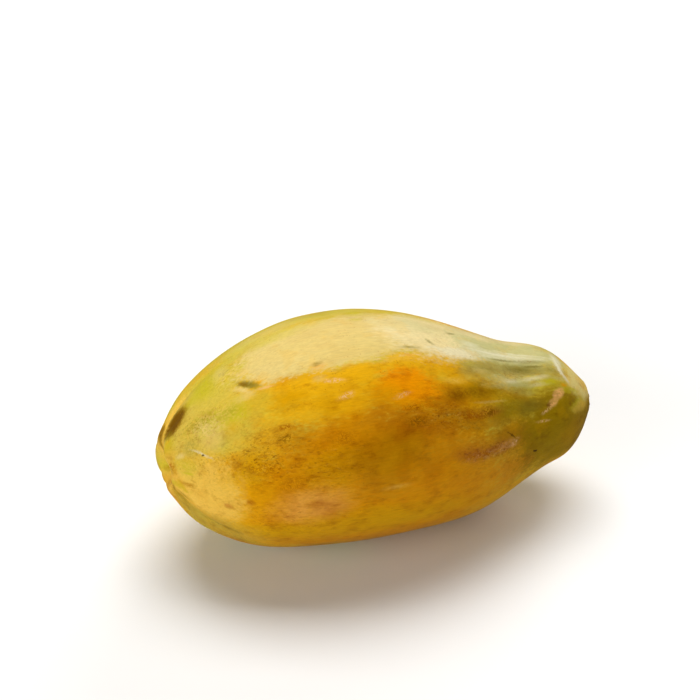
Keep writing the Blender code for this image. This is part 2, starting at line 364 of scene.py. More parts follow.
# Marks broken up into squiggles, in the same columns.
SCRAWLS = (
    (92, 60.5, 9, 2, -8, 0.8, 0.8, 0.9, "scar"),
    (97, 52, 7, 2.2, 12, 0.8, 0.8, 0.9, "scar"),
    (64, 43.5, 8.5, 3, -2, 0.8, 0.9, 0.9, "brown"),
    (63, 38.5, 8, 4, 5, 0.8, 0.8, 0.95, "umber"),
    (52, 25, 13, 6, 0, 0.8, 0.6, 1, "brown"),
    (64, 14, 12, 6, 0, 0.8, 0.55, 1, "brown"),
    (92, 33, 12, 6, 0, 0.8, 0.55, 1, "brown"),
    (131, 42.5, 13, 4, 0, 0.8, 0.85, 0.9, "brown"),
    (132, 36, 11, 4.4, 0, 0.8, 0.85, 0.95, "umber"),
    (126, 49, 8, 2, 14, 0.8, 0.65, 0.9, "scar"),
    (162, 51, 12, 5, 0, 0.8, 0.6, 0.9, "umber"),
    (174, 40, 13, 5.5, 8, 0.8, 0.95, 0.9, "umber"),
    (163, 38, 12, 5, 0, 0.8, 0.9, 0.95, "brown"),
    (168, 16, 24, 5, 3, 0.8, 0.8, 0.95, "brown"),
    (189, 18, 6, 4, 30, 0.8, 0.65, 0.9, "scar"),
    (212, 33, 6, 3, 30, 0.8, 0.7, 0.9, "scar"),
    (209, 25, 7, 2, -20, 0.8, 0.7, 0.9, "scar"),
)

# Where fine freckles gather, in the same columns.
FRECKLES = (
    (50, 32, 26, 20, 0, 0.9, 1, 0.4, "white"),
    (22, 62, 20, 16, 0, 0.9, 0.9, 0.5, "white"),
    (24, 30, 20, 16, 0, 0.9, 0.5, 0.5, "white"),
    (36, 92, 24, 24, 0, 0.9, 0.5, 0.5, "white"),
    (82, 20, 40, 26, 0, 0.9, 0.5, 0.5, "white"),
    (150, 38, 40, 14, 0, 0.9, 0.8, 0.5, "white"),
    (172, 16, 28, 10, 0, 0.9, 1, 0.4, "white"),
    (200, 66, 24, 12, 0, 0.9, 0.5, 0.5, "white"),
    (60, -8, 40, 20, 0, 0.9, 0.4, 0.5, "white"),
    (100, 180, 60, 40, 0, 0.9, 0.6, 0.5, "white"),
    (60, 250, 50, 40, 0, 0.9, 0.5, 0.5, "white"),
)

# The stub's outline: how far out and how wide, as shares of its height and radius.
STUB_OUTLINE = (
    (0.00, 1.00), (0.16, 0.97), (0.40, 0.94), (0.70, 0.96), (0.92, 0.98), (1.00, 0.93),
    (1.00, 0.86), (0.94, 0.78), (0.93, 0.52), (0.90, 0.34), (0.82, 0.22), (0.80, 0.08),
)

# Softboxes: name, place and size in metres, and power in watts.
LIGHTS = (
    ("softbox", (0.62, 1.88, 5.00), (5.0, 2.75), 292.0),
    ("window", (3.25, 4.00, 2.50), (3.0, 2.5), 99.0),
    ("left", (-4.75, -1.75, 2.00), (3.0, 3.0), 131.0),
    ("front_fill", (-3.00, -4.50, 2.00), (3.0, 3.0), 85.0),
)
CAMERA_AIM = Vector((0.0003, 0.0252, 0.095))


class PapayaSkinSettings(bpy.types.PropertyGroup):
    """Sizes and colours of the fruit."""

    length: FloatProperty(
        name="Length", description="Blossom tip to stem rim", unit="LENGTH",
        default=FRUIT_HIGH.x - FRUIT_LOW.x)
    half_width: FloatProperty(
        name="Half width", description="Half the greatest width", unit="LENGTH",
        default=(FRUIT_HIGH.y - FRUIT_LOW.y) / 2)
    pressed: FloatProperty(
        name="Pressed", description="How far the skin is pressed flat where it rests",
        unit="LENGTH", default=0.0009)
    sides: IntProperty(
        name="Sides", description="Points round the modelling cage", default=40)
    smoothing: IntProperty(
        name="Smoothing", description="Subdivision levels on the cage", default=3)
    dimple_depth: FloatProperty(
        name="Dimple depth", description="Depth of the stem dimple", unit="LENGTH",
        default=0.004)
    dimple_radius: FloatProperty(
        name="Dimple radius", description="Half width of the stem dimple",
        unit="LENGTH", default=0.0088)
    golden: FloatVectorProperty(
        name="Golden", description="Ripe skin over most of the body",
        subtype="COLOR", default=(0.73, 0.40, 0.006), min=0, max=1)
    # Partly paler skin, partly painted highlight: the pale band along the top stands in for
    # the overhead softbox's sheen.
    pale: FloatVectorProperty(
        name="Pale", description="Pale yellow skin along the top",
        subtype="COLOR", default=(0.675, 0.53, 0.205), min=0, max=1)
    lime: FloatVectorProperty(
        name="Lime", description="Yellow-green skin that is still ripening",
        subtype="COLOR", default=(0.56, 0.47, 0.055), min=0, max=1)
    orange: FloatVectorProperty(
        name="Orange", description="Fully ripe orange blotches",
        subtype="COLOR", default=(0.80, 0.315, 0.001), min=0, max=1)
    amber: FloatVectorProperty(
        name="Amber", description="Deep amber skin on the flanks",
        subtype="COLOR", default=(0.61, 0.255, 0.001), min=0, max=1)
    straw: FloatVectorProperty(
        name="Straw", description="Pale straw skin on the blossom cheek",
        subtype="COLOR", default=(0.75, 0.485, 0.085), min=0, max=1)
    sage: FloatVectorProperty(
        name="Sage", description="Greyish yellow-green skin on the blossom cheek",
        subtype="COLOR", default=(0.58, 0.46, 0.09), min=0, max=1)
    # Partly cream skin, partly painted highlight on the crown and over the top of the neck.
    cream_skin_and_highlight: FloatVectorProperty(
        name="Cream", description="Cream skin on the crown",
        subtype="COLOR", default=(0.72, 0.60, 0.31), min=0, max=1)
    gold_olive: FloatVectorProperty(
        name="Old gold", description="Dull golden-olive skin",
        subtype="COLOR", default=(0.58, 0.30, 0.001), min=0, max=1)
    bark: FloatVectorProperty(
        name="Old brown", description="Olive-brown skin between flank and neck",
        subtype="COLOR", default=(0.40, 0.185, 0.001), min=0, max=1)
    khaki: FloatVectorProperty(
        name="Khaki", description="Khaki skin below the blossom cheek",
        subtype="COLOR", default=(0.43, 0.31, 0.05), min=0, max=1)
    # Partly grey-green skin, partly painted shade in the neck's furrow and flutes.
    flute_grey_green_and_shade: FloatVectorProperty(
        name="Pale moss", description="Grey-green of the neck's flutes",
        subtype="COLOR", default=(0.36, 0.30, 0.07), min=0, max=1)
    rind: FloatVectorProperty(
        name="Rind", description="Yellow-green skin round the stem end",
        subtype="COLOR", default=(0.68, 0.57, 0.22), min=0, max=1)
    honey: FloatVectorProperty(
        name="Honey", description="Honey skin between gold and orange",
        subtype="COLOR", default=(0.65, 0.31, 0.002), min=0, max=1)
    white: FloatVectorProperty(
        name="White", description="Full strength where freckles gather",
        subtype="COLOR", default=(1.0, 1.0, 1.0), min=0, max=1)
    olive: FloatVectorProperty(
        name="Olive", description="Olive skin round the neck",
        subtype="COLOR", default=(0.31, 0.195, 0.001), min=0, max=1)
    # Partly grey-green skin, partly painted sheen: paler and bluer than the neck's skin, for
    # the highlight on top of the neck and on its ridges.
    green: FloatVectorProperty(
        name="Grey-green", description="Grey-green skin on top of the neck",
        subtype="COLOR", default=(0.48, 0.46, 0.20), min=0, max=1)
    brown: FloatVectorProperty(
        name="Brown", description="Brown mottling",
        subtype="COLOR", default=(0.36, 0.115, 0.001), min=0, max=1)
    russet: FloatVectorProperty(
        name="Russet", description="Rubbed russet streaks",
        subtype="COLOR", default=(0.42, 0.145, 0.016), min=0, max=1)
    tan: FloatVectorProperty(
        name="Tan", description="Pinkish tan bloom",
        subtype="COLOR", default=(0.74, 0.38, 0.08), min=0, max=1)
    leaf: FloatVectorProperty(
        name="Leaf green", description="Fresh green flecks",
        subtype="COLOR", default=(0.5, 0.44, 0.01), min=0, max=1)
    # Dark grey-green stains, and painted shade: along the neck furrow and inside the pit.
    moss: FloatVectorProperty(
        name="Moss", description="Dark grey-green stains",
        subtype="COLOR", default=(0.19, 0.155, 0.02), min=0, max=1)
    scar: FloatVectorProperty(
        name="Scar", description="Pale healed scratches",
        subtype="COLOR", default=(0.8, 0.52, 0.28), min=0, max=1)
    blush: FloatVectorProperty(
        name="Blush", description="Pinkish-orange healed scrape",
        subtype="COLOR", default=(0.80, 0.45, 0.17), min=0, max=1)
    # Whitish bloom, and painted highlight: the sheen over the neck's top, the glints along
    # its ridges and the white reflection along the stem rim.
    whitish_bloom_and_highlight: FloatVectorProperty(
        name="Ash", description="Whitish bloom on ridges",
        subtype="COLOR", default=(0.72, 0.68, 0.49), min=0, max=1)
    umber: FloatVectorProperty(
        name="Umber", description="Dark brown flecks",
        subtype="COLOR", default=(0.22, 0.095, 0.001), min=0, max=1)
    # Olive-brown stain and painted shade at the edges of the folds by the blossom tip.
    fold_edge_stain_and_shade: FloatVectorProperty(
        name="Dusk", description="Olive-brown edge of the stained creases",
        subtype="COLOR", default=(0.30, 0.165, 0.001), min=0, max=1)
    # Brown stain and painted shade deep in the folds.
    fold_stain_and_shade: FloatVectorProperty(
        name="Crease", description="Brown stain down the creases",
        subtype="COLOR", default=(0.17, 0.078, 0.001), min=0, max=1)
    speck: FloatVectorProperty(
        name="Speck", description="Near-black specks",
        subtype="COLOR", default=(0.05, 0.02, 0.004), min=0, max=1)


class PapayaStemSettings(bpy.types.PropertyGroup):
    """Sizes and colours of the stem stub and its scar."""

    radius: FloatProperty(
        name="Radius", description="Half width of the stub", unit="LENGTH",
        default=(STUB_HIGH.y - STUB_LOW.y) / 2)
    height: FloatProperty(
        name="Height", description="How far the stub stands out of its dimple",
        unit="LENGTH", default=STUB_HIGH.x - STUB_LOW.x)
    bark: FloatVectorProperty(
        name="Bark", description="Dry brown side of the stub",
        subtype="COLOR", default=(0.20, 0.085, 0.028), min=0, max=1)
    bark_light: FloatVectorProperty(
        name="Light bark", description="Paler patches on the side",
        subtype="COLOR", default=(0.38, 0.20, 0.08), min=0, max=1)
    wood: FloatVectorProperty(
        name="Wood", description="Pale cut face",
        subtype="COLOR", default=(0.62, 0.45, 0.25), min=0, max=1)
    wood_dark: FloatVectorProperty(
        name="Dark wood", description="Darker fibres on the cut face",
        subtype="COLOR", default=(0.42, 0.26, 0.12), min=0, max=1)
    cork: FloatVectorProperty(
        name="Cork", description="Paler crests of the scar",
        subtype="COLOR", default=(0.36, 0.20, 0.07), min=0, max=1)
    cork_dark: FloatVectorProperty(
        name="Dark cork", description="Dark hollows of the scar",
        subtype="COLOR", default=(0.085, 0.035, 0.010), min=0, max=1)


class PapayaStageSettings(bpy.types.PropertyGroup):
    """The camera's angles, distance and lens."""

    azimuth: FloatProperty(
        name="Azimuth", description="Camera angle round the fruit", subtype="ANGLE",
        default=math.radians(-14))
    elevation: FloatProperty(
        name="Elevation", description="Camera angle above the floor", subtype="ANGLE",
        default=math.radians(35))
    distance: FloatProperty(
        name="Distance", description="Camera to the point it looks at", unit="LENGTH",
        default=0.8625)
    lens: FloatProperty(
        name="Lens", description="Focal length in millimetres", default=80)


def smooth_outline():
    """The outline's rows, with more set between each two on a soft curve."""
    points = [Vector(row) for row in OUTLINE]
    smooth = []
    for i in range(len(points) - 1):
        before = points[max(i - 1, 0)]
        start = points[i]
        end = points[i + 1]
        after = points[min(i + 2, len(points) - 1)]
        handle_out = start + (end - before) / 6
        handle_in = end - (after - start) / 6
        curve = interpolate_bezier(
            start, handle_out, handle_in, end, STEPS_BETWEEN_ROWS + 1)
        smooth += curve[:-1]
    return smooth + [points[-1]]


def ring_place(skin, share, lift):
    """The middle of a ring of skin."""
    along = FRUIT_LOW.x + share * skin.length
    return Vector((along, 0.0, skin.half_width * (1 + lift) - skin.pressed))


def start_ring(name, sides, radius, place):
    """A ring of edges round the X direction, selected in edit mode."""
    bpy.ops.object.select_all(action="DESELECT")
    bpy.ops.mesh.primitive_circle_add(
        vertices=sides, radius=radius, location=place, rotation=(0, math.pi / 2, 0))
    piece = bpy.context.active_object
    piece.name = name
    piece.data.name = name
    bpy.ops.object.transform_apply(location=True, rotation=True, scale=True)
    bpy.ops.object.mode_set(mode="EDIT")
    bpy.ops.mesh.select_all(action="SELECT")
    return piece


def extrude_rings(rings):
    """Extrude the selected ring through the next places and radii."""
    for (place, radius), (next_place, next_radius) in zip(rings, rings[1:]):
        bpy.ops.mesh.extrude_region_move(
            TRANSFORM_OT_translate={"value": next_place - place})
        change = next_radius / radius
        bpy.ops.transform.resize(
            value=(change, change, change), center_override=next_place)


def close_ends():
    """Fill the last ring, which is selected, and then the first one."""
    bpy.ops.mesh.edge_face_add()
    bpy.ops.mesh.select_all(action="DESELECT")
    bpy.ops.mesh.select_mode(type="EDGE")
    bpy.ops.mesh.select_non_manifold()
    bpy.ops.mesh.edge_face_add()
    bpy.ops.mesh.select_all(action="SELECT")
    bpy.ops.mesh.normals_make_consistent(inside=False)
    bpy.ops.mesh.select_mode(type="VERT")
    bpy.ops.object.mode_set(mode="OBJECT")


def subdivide(piece, levels):
    """Smooth the cage and keep the result."""
    modifier = piece.modifiers.new("smooth", "SUBSURF")
    modifier.levels = levels
    modifier.render_levels = levels
    bpy.ops.object.modifier_apply(modifier=modifier.name)


class SkinPlaces:
    """Where each point of the skin lies: share of length and degrees round."""

    def __init__(self, skin, piece):
        count = len(piece.data.vertices)
        flat = np.empty(count * 3, np.float32)
        piece.data.vertices.foreach_get("co", flat)
        self.points = flat.reshape(-1, 3).astype(float)
        rows = np.array(smooth_outline())
        self.share = (self.points[:, 0] - FRUIT_LOW.x) / skin.length
        self.along = self.share * skin.length / MM
        lift = np.interp(self.share, rows[:, 0], rows[:, 2])
        middle = skin.half_width * (1 + lift) - skin.pressed
        up = self.points[:, 2] - middle
        self.around = np.degrees(np.arctan2(up, -self.points[:, 1]))
        self.reach = np.hypot(up, self.points[:, 1]) / MM

    def away(self, angle):
        """Degrees from an angle round the fruit, which may change along it."""
        return (self.around - angle + 180) % 360 - 180


def press(piece, name, weights, depth, direction="NORMAL"):
    """Paint a group and push the skin in by its weight; a negative depth raises it."""
    group = piece.vertex_groups.new(name=name)
    for i in np.nonzero(weights > 0.002)[0]:
        group.add([int(i)], float(weights[i]), "REPLACE")
    modifier = piece.modifiers.new(name, "DISPLACE")
    modifier.vertex_group = name
    modifier.mid_level = 0.0
    modifier.direction = direction
    modifier.strength = -depth
    bpy.ops.object.modifier_apply(modifier=modifier.name)
    piece.vertex_groups.remove(piece.vertex_groups[name])


def turn_tip(piece, places):
    """Draw the blossom tip aside towards -Y, overhung by the lobes on the far side."""
    near_tip = np.exp(-((places.along / TIP_REACH) ** 2))
    press(piece, "aside", near_tip, TIP_ASIDE * MM, "Y")
    press(piece, "inward", near_tip**2, -TIP_INWARD * MM, "X")
    far = 0.5 + 0.5 * np.cos(np.radians(places.away(OVERHANG_ROUND)))
    reach = (places.along - OVERHANG_ALONG) / OVERHANG_REACH
    press(piece, "overhang", far * np.exp(-(reach**2)), OVERHANG_DEPTH * MM, "X")


def pleat_weights(places):
    """Weights of the fine pleats round the tip."""
    ring = np.exp(-(((places.reach - PLEAT_RING) / PLEAT_SPREAD) ** 2))
    return ring * np.cos(np.radians(places.around * PLEATS / 2 + 40)) ** 2


def rise_and_fade(share, peak):
    """0 at the end of the fruit, 1 at the peak, fading slowly after it."""
    share = np.maximum(share, 0)
    return share / peak * np.exp(1 - share / peak)


def furrow_weights(places, at_blossom, at_neck, curl, deep_blossom, deep_neck):
    """Weights of one furrow, 1 at its deepest: a sharp valley at the ends, soft between."""
    centre = at_blossom + (at_neck - at_blossom) * places.share
    centre += curl * np.exp(-places.share / FURROW_CURL_REACH)
    blossom = rise_and_fade(places.share, FURROW_PEAKS[0]) ** 2 * deep_blossom
    neck = rise_and_fade(1 - places.share, FURROW_PEAKS[1]) * deep_neck
    across = np.clip(np.abs(places.away(centre)) / FURROW_HALF_WIDTH, 0, 1)
    softness = 0.45 + 0.75 * np.clip(places.share / 0.3, 0, 1)
    valley = 1 - np.sin(across * math.pi / 2) ** softness
    return valley * (blossom + neck) / max(deep_blossom, deep_neck)


def spot_weights(places, along, around, half_long, half_wide, slant):
    """Weights of a soft oval spot, 1 in its middle."""
    u = places.along - along
    v = places.away(around)
    turn = math.radians(slant)
    long_way = (u * math.cos(turn) + v * math.sin(turn)) / half_long
    cross_way = (v * math.cos(turn) - u * math.sin(turn)) / half_wide
    return np.exp(-(long_way**2 + cross_way**2))


def swell(piece, name, size, depth):
    """Push the skin in and out in soft random swells of about the given size."""
    clouds = bpy.data.textures.new(name, "CLOUDS")
    clouds.noise_scale = size
    clouds.noise_depth = 1
    modifier = piece.modifiers.new(name, "DISPLACE")
    modifier.texture = clouds
    modifier.texture_coords = "LOCAL"
    modifier.strength = depth
    modifier.mid_level = 0.5
    bpy.ops.object.modifier_apply(modifier=modifier.name)


def map_skin(piece, places):
    """Store millimetres along and degrees round on every face corner."""
    mesh = piece.data
    count = len(mesh.loops)
    corner = np.empty(count, np.int32)
    mesh.loops.foreach_get("vertex_index", corner)
    starts = np.empty(len(mesh.polygons), np.int32)
    totals = np.empty(len(mesh.polygons), np.int32)
    mesh.polygons.foreach_get("loop_start", starts)
    mesh.polygons.foreach_get("loop_total", totals)
    around = (places.around[corner] + 90) % 360 - 90
    first = np.repeat(around[starts], totals)
    around = around + 360 * np.round((first - around) / 360)
    values = np.zeros((count, 3), np.float32)
    values[:, 0] = places.along[corner]
    values[:, 1] = around
    layer = mesh.attributes.new("skin_map", "FLOAT_VECTOR", "CORNER")
    layer.data.foreach_set("vector", values.ravel())


def flatten_rest():
    """Press everything below the resting surface up to it."""
    piece = bpy.context.active_object
    bpy.ops.object.mode_set(mode="EDIT")
    bpy.ops.mesh.select_all(action="DESELECT")
    bpy.ops.object.mode_set(mode="OBJECT")
    for vertex in piece.data.vertices:
        vertex.select = vertex.co.z < 0
    bpy.ops.object.mode_set(mode="EDIT")
    bpy.ops.transform.resize(value=(1, 1, 0), center_override=(0, 0, 0))
    bpy.ops.object.mode_set(mode="OBJECT")


def start_material(name):
    """A new material with its node tree and its shader."""
    material = bpy.data.materials.new(name)
    material.use_nodes = True
    tree = material.node_tree
    return material, tree, tree.nodes["Principled BSDF"]


class Finish:
    """A node tree that is built up one node at a time."""

    def __init__(self, tree):
        self.tree = tree

    def feed(self, made, inputs):
        """Give a node its inputs: each is a number, a colour or another node's output."""
        for key, value in inputs.items():
            if isinstance(value, bpy.types.NodeSocket):
                self.tree.links.new(value, made.inputs[key])
            else:
                made.inputs[key].default_value = value

    def node(self, kind, inputs=None, **settings):
        """Add a node with its settings and inputs."""
        made = self.tree.nodes.new("ShaderNode" + kind)
        for key, value in settings.items():
            setattr(made, key, value)
        self.feed(made, inputs or {})
        return made

    def math(self, operation, first, second=0.0):
        return self.node("Math", {0: first, 1: second}, operation=operation).outputs[0]

    def times(self, first, second):
        return self.math("MULTIPLY", first, second)

    def vector(self, operation, first, second):
        made = self.node("VectorMath", {0: first, 1: second}, operation=operation)
        return made.outputs["Value" if operation == "LENGTH" else "Vector"]

    def scaled(self, vector, scale):
        made = self.node("VectorMath", {0: vector, "Scale": scale}, operation="SCALE")
        return made.outputs["Vector"]

    def stretched(self, place, stretch):
        """Coordinates that draw a pattern out lengthwise."""
        return self.vector("MULTIPLY", place, (stretch, 1.0, 1.0))

    def noise(self, place, size, detail=4.0, roughness=0.55, output=0):
        """Noise whose features are about the given size in millimetres."""
        made = self.node("TexNoise", {
            "Vector": place, "Scale": 1 / (size * MM), "Detail": detail,
            "Roughness": roughness})
        return made.outputs[output]

    def squiggles(self, place, scale, detail, distortion):
        """Noise that is drawn out of shape, so that its level lines are worm-like."""
        return self.node("TexNoise", {
            "Vector": place, "Scale": scale, "Detail": detail,
            "Distortion": distortion}).outputs[0]

    def fade(self, value, low, high, to_low=0.0, to_high=1.0):
        """A soft step from one value to another."""
        return self.node("MapRange", {
            "Value": value, "From Min": low, "From Max": high,
            "To Min": to_low, "To Max": to_high},
            interpolation_type="SMOOTHSTEP").outputs["Result"]

    def level_lines(self, pattern, level, far, near, to_low=0.0, to_high=1.0):
        """Lines along which a pattern is near a level."""
        off = self.math("ABSOLUTE", self.math("SUBTRACT", pattern, level))
        return self.fade(off, far, near, to_low, to_high)

    def blend(self, amount, under, over, way="MIX"):
        """Lay one colour over another."""
        made = self.node("Mix", {0: amount}, data_type="RGBA", blend_type=way)
        for index, value in ((6, under), (7, over)):
            if not isinstance(value, bpy.types.NodeSocket):
                value = (*value, 1)
            self.feed(made, {index: value})
        return made.outputs[2]

    def grey(self, value):
        """A colour with the same value in each channel."""
        return self.node("CombineColor", {0: value, 1: value, 2: value}).outputs[0]

    def cover(self, shader, colour, height, strength, distance):
        """Give a shader its colour and its relief, whose depth is in millimetres."""
        relief = self.node("Bump", {
            "Strength": strength, "Distance": distance * MM, "Height": height})
        self.feed(shader, {"Base Color": colour, "Normal": relief.outputs["Normal"]})


def mark_group():
    """A reusable node: one ragged oval mark laid over the colour below it."""
    tree = bpy.data.node_groups.new("skin_mark", "ShaderNodeTree")
    sockets = (
        ("Under", "NodeSocketColor"), ("Over", "NodeSocketColor"),
        ("Position", "NodeSocketVector"), ("Grain", "NodeSocketFloat"),
        ("Place", "NodeSocketVector"), ("Slant", "NodeSocketVector"),
        ("Half Size", "NodeSocketVector"), ("Softness", "NodeSocketFloat"),
        ("Strength", "NodeSocketFloat"), ("Broken", "NodeSocketFloat"))
    for name, kind in sockets:
        tree.interface.new_socket(name=name, in_out="INPUT", socket_type=kind)
    tree.interface.new_socket(
        name="Colour", in_out="OUTPUT", socket_type="NodeSocketColor")
    # The position is handed on by way of the colour, so that marks are worked out in turn.
    tree.interface.new_socket(
        name="Onward", in_out="OUTPUT", socket_type="NodeSocketVector")
    given = tree.nodes.new("NodeGroupInput").outputs
    result = tree.nodes.new("NodeGroupOutput")
    finish = Finish(tree)
    local = finish.node("Mapping", {
        "Vector": given["Position"], "Location": given["Place"],
        "Rotation": given["Slant"], "Scale": given["Half Size"]},
        vector_type="TEXTURE").outputs["Vector"]
    reach = finish.vector("LENGTH", local, (0, 0, 0))
    wander = finish.times(finish.math("SUBTRACT", given["Grain"], 0.5), 0.7)
    reach = finish.math("ADD", reach, wander)
    inner = finish.math("SUBTRACT", 1.0, given["Softness"])
    mask = finish.fade(reach, 1.0, inner)
    gaps = finish.times(finish.fade(given["Grain"], 0.42, 0.58), given["Broken"])
    gaps = finish.math("ADD", gaps, finish.math("SUBTRACT", 1.0, given["Broken"]))
    mask = finish.times(finish.times(mask, gaps), given["Strength"])
    onward = finish.node("VectorMath", {
        0: given["Under"], 1: (1e-9, 1e-9, 1e-9), 2: given["Position"]},
        operation="MULTIPLY_ADD").outputs["Vector"]
    finish.feed(result, {
        "Colour": finish.blend(mask, given["Under"], given["Over"]), "Onward": onward})
    return tree


class SkinFinish(Finish):
    """The nodes of the papaya's skin, with the coordinates that its layers share."""

    def __init__(self, tree, skin):
        super().__init__(tree)
        self.skin = skin
        self.group = mark_group()
        self.place = self.node("TexCoord").outputs["Object"]
        self.long_place = self.stretched(self.place, 0.45)
        self.skin_map = self.node("Attribute", attribute_name="skin_map").outputs["Vector"]
        broad = self.wander(self.long_place, 38, 2.0, 0.55)
        middle = self.wander(self.long_place, 7, 4.0, 0.6)
        small = self.wander(self.place, 1.6, 3.0, 0.6)
        self.loose = self.drifted((broad, 8), (middle, 16), (small, 1.6))
        self.tight = self.drifted((middle, 3.0), (small, 2.4))
        self.grain = self.noise(self.long_place, 1.5, 5.0, 0.65)

    def wander(self, place, size, detail, roughness):
        """A random shift either way."""
        shift = self.noise(place, size, detail, roughness, output=1)
        return self.vector("SUBTRACT", shift, (0.5, 0.5, 0.5))

    def drifted(self, *shifts):
        """The skin map, drifted by each shift times its size in millimetres."""
        drift = (0, 0, 0)
        for shift, size in shifts:
            drift = self.vector("ADD", drift, self.scaled(shift, size))
        drift = self.vector("MULTIPLY", drift, (1.0, 0.65, 0.0))
        return self.vector("ADD", self.skin_map, drift)

    def marks(self, colour, rows, position, grain):
        """Lay rows of marks over a colour, one after another."""
        for along, around, half_long, half_wide, slant, soft, strength, broken, name in rows:
            made = self.node("Group", node_tree=self.group)
            self.feed(made, {
                "Under": colour, "Over": (*getattr(self.skin, name), 1),
                "Position": position, "Grain": grain, "Place": (along, around, 0),
                "Slant": (0, 0, math.radians(slant)), "Half Size": (half_long, half_wide, 1),
                "Softness": soft, "Strength": strength, "Broken": broken})
            colour = made.outputs["Colour"]
            position = made.outputs["Onward"]
        return colour

    def ripened(self):
        """Lime to golden to amber skin, under the broad fields of colour."""
        ripeness = self.noise(self.long_place, 30, 5.0, 0.6)
        deepness = self.noise(self.stretched(self.place, 0.3), 22, 6.0, 0.6)
        colour = self.blend(
            self.fade(ripeness, 0.38, 0.60), self.skin.lime, self.skin.golden)
        colour = self.blend(
            self.fade(deepness, 0.46, 0.70, 0, 0.7), colour, self.skin.amber)
        return self.marks(colour, FIELDS, self.loose, self.grain)

    def mottled(self, colour, blotch, fibre):
        """Darker blotches, mostly on the flanks, and lengthwise fibres."""
        cloud = self.noise(self.place, 13, 3.0, 0.5)
        around = self.node("SeparateXYZ", {0: self.skin_map}).outputs[1]
        flank = self.math(
            "MAXIMUM", self.fade(around, 78, 60, 0.3, 1.0), self.fade(around, 112, 140))
        darker = self.times(self.fade(blotch, 0.50, 0.70, 0, 0.40), flank)
        colour = self.blend(darker, colour, (0.50, 0.30, 0.03), "MULTIPLY")
        deeper = self.times(self.fade(cloud, 0.52, 0.66, 0, 0.22), flank)
        colour = self.blend(deeper, colour, (0.70, 0.46, 0.08), "MULTIPLY")
        paler = self.fade(cloud, 0.46, 0.34, 0, 0.14)
        colour = self.blend(paler, colour, self.skin.golden)
        tone = self.grey(self.fade(fibre, 0.30, 0.70, 0.94, 1.06))
        return self.blend(1.0, colour, tone, "MULTIPLY")

    def freckled(self, colour):
        """Flecks, mottling, streaks and scurf where freckles gather."""
        crowd = self.marks(self.grey(0.03), FRECKLES, self.loose, self.grain)
        fleck = self.noise(self.long_place, 1.0, 3.0, 0.6)
        mottle = self.noise(self.long_place, 2.6, 5.0, 0.65)
        streak = self.noise(self.stretched(self.place, 0.22), 1.8, 5.0, 0.7)
        for pattern, low, high, depth, ink, way in (
                (fleck, 0.56, 0.66, 0.8, (0.28, 0.17, 0.04), "MULTIPLY"),
                (mottle, 0.51, 0.61, 0.55, (0.58, 0.36, 0.05), "MULTIPLY"),
                (mottle, 0.47, 0.38, 0.30, self.skin.golden, "MIX"),
                (streak, 0.55, 0.66, 0.5, (0.50, 0.28, 0.08), "MULTIPLY"),
                (streak, 0.42, 0.30, 0.3, self.skin.straw, "MIX")):
            amount = self.times(self.fade(pattern, low, high, 0, depth), crowd)
            colour = self.blend(amount, colour, ink, way)
        scurf = self.squiggles(self.long_place, 420.0, 3.0, 1.6)
        ragged = self.times(self.fade(self.grain, 0.44, 0.56), crowd)
        for level, depth, ink in (
                (0.50, 0.6, (0.30, 0.16, 0.02)), (0.56, 0.28, (0.74, 0.44, 0.10))):
            line = self.level_lines(scurf, level, 0.022, 0.004, 0, depth)
            colour = self.blend(self.times(line, ragged), colour, ink)
        return colour

    def marked(self, colour):
        """The single marks, and those that break up into squiggles."""
        colour = self.marks(colour, MARKS, self.tight, self.grain)
        scrawl = self.squiggles(self.place, 300.0, 2.0, 2.0)
        scrawl = self.level_lines(scrawl, 0.5, 0.08, 0.02, 0.30, 0.70)
        return self.marks(colour, SCRAWLS, self.tight, scrawl)

    def pores(self):
        """Small round dots, scattered here and there."""
        cells = self.node("TexVoronoi", {
            "Vector": self.place, "Scale": 1 / (1.7 * MM), "Randomness": 1.0})
        dot = self.fade(cells.outputs["Distance"], 0.26, 0.12)
        chosen = self.node("SeparateColor", {0: cells.outputs["Color"]}).outputs[0]
        dot = self.times(dot, self.fade(chosen, 0.52, 0.58))
        return self.times(dot, self.fade(self.noise(self.place, 16, 3.0), 0.44, 0.62))


def skin_material(skin):
    """Ripe papaya skin: fields of colour, partly painted highlight and shade, mottling,
    freckles, marks and a waxy gloss.
    """
    material, tree, shader = start_material("papaya_skin")
    finish = SkinFinish(tree, skin)
    colour = finish.ripened()
    blotch = finish.noise(finish.long_place, 5, 6.0, 0.7)
    fibre = finish.noise(finish.stretched(finish.place, 0.16), 0.9, 4.0, 0.6)
    colour = finish.mottled(colour, blotch, fibre)
    colour = finish.marked(finish.freckled(colour))
    dots = finish.pores()
    colour = finish.blend(finish.times(dots, 0.42), colour, skin.brown)
    bumps = finish.noise(finish.place, 0.55, 3.0, 0.6)
    height = finish.math("ADD", finish.times(bumps, 0.35), blotch)
    height = finish.math("SUBTRACT", height, finish.times(dots, 0.5))
    height = finish.math("ADD", height, finish.times(fibre, 0.35))
    finish.cover(shader, colour, height, 0.35, 0.6)
    gloss = finish.noise(finish.long_place, 9)
    finish.feed(shader, {
        "Roughness": finish.fade(gloss, 0.3, 0.7, 0.29, 0.41),
        "Specular IOR Level": 0.09, "Specular Tint": (1.0, 0.80, 0.05, 1)})
    return material


